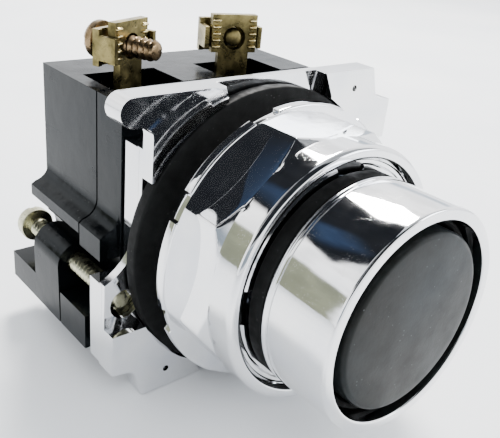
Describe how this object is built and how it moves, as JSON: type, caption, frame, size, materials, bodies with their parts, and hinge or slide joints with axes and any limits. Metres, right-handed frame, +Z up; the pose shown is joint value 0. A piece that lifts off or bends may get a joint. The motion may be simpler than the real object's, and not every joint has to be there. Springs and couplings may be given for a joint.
{
  "type": "industrial push button",
  "caption": "Momentary push button with a chrome guard ring, octagonal mounting nut, gasket and die-cast body, and a contact block with clamp terminals behind.",
  "frame": {"origin": "on the push axis, at the front face of the gasket, which is the rear face of the panel that the button is mounted in", "axes": "+Z up, -Y forward out of the panel towards the operator's finger, +X to the right seen from the front; pressing moves along +Y"},
  "size_m": [0.0466, 0.0575, 0.0461],
  "materials": {
    "chrome": "bright chrome plate on die casting",
    "black_rubber": "matte",
    "slate_plastic": "satin",
    "black_moulding": "glossy phenolic moulding",
    "brass": "dull, slightly tarnished",
    "copper_plate": "coppery plate, dull",
    "yellow_zinc": "pale yellow zinc plate",
    "spring_steel": "bright drawn steel",
    "silver_contact": "fine silver"
  },
  "bodies": {
    "operator": {"operator_body": "chrome", "panel_gasket": "black_rubber", "guard_ring": "chrome", "guard_seal_ring": "black_rubber", "boot_seal": "black_rubber", "stem_guide": "black_moulding", "block_housing": "black_moulding", "block_cover": "black_moulding", "fixed_contact_left": "brass", "fixed_contact_right": "brass", "fixed_tip_left": "silver_contact", "fixed_tip_right": "silver_contact", "block_screw_lower": "yellow_zinc", "block_screw_upper": "yellow_zinc"},
    "nut": {"mounting_nut": "chrome"},
    "button": {"button_cap": "slate_plastic", "stem": "spring_steel", "retaining_clip": "spring_steel", "return_spring": "spring_steel"},
    "plunger": {"block_plunger": "slate_plastic", "plunger_spring": "spring_steel", "contact_spring": "spring_steel"},
    "bridge": {"moving_bridge": "brass", "moving_tip_left": "silver_contact", "moving_tip_right": "silver_contact"},
    "clamp_left": {"clamp_saddle_left": "brass", "terminal_screw_left": "copper_plate"},
    "clamp_right": {"clamp_saddle_right": "brass", "terminal_screw_right": "copper_plate"}
  },
  "joints": [
    {"name": "button_press", "type": "slide", "parent": "operator", "child": "button", "axis": [0, 1, 0], "range_m": [0, 0.0055], "stiffness_N_per_m": 700, "springref_m": -0.006, "deforming": ["return_spring"]},
    {"name": "plunger_slide", "type": "slide", "parent": "operator", "child": "plunger", "axis": [0, 1, 0], "range_m": [0, 0.0055], "stiffness_N_per_m": 300, "springref_m": -0.004, "deforming": ["plunger_spring"]},
    {"name": "bridge_slide", "type": "slide", "parent": "operator", "child": "bridge", "axis": [0, 1, 0], "range_m": [0, 0.0041], "deforming": ["contact_spring"]},
    {"name": "nut_turn", "type": "hinge", "parent": "operator", "child": "nut", "pos_m": [0, 0, 0], "axis": [0, -1, 0], "range_deg": [-180, 180]},
    {"name": "clamp_left_slide", "type": "slide", "parent": "operator", "child": "clamp_left", "axis": [-0.3746, 0.9272, 0], "range_m": [0, 0.002]},
    {"name": "clamp_right_slide", "type": "slide", "parent": "operator", "child": "clamp_right", "axis": [0.309, 0.9511, 0], "range_m": [0, 0.002]}
  ],
  "couplings": [
    {"joint": "plunger_slide", "follows": "button_press", "ratio": 1},
    {"joint": "bridge_slide", "follows": "button_press", "ratio": 0.745}
  ]
}
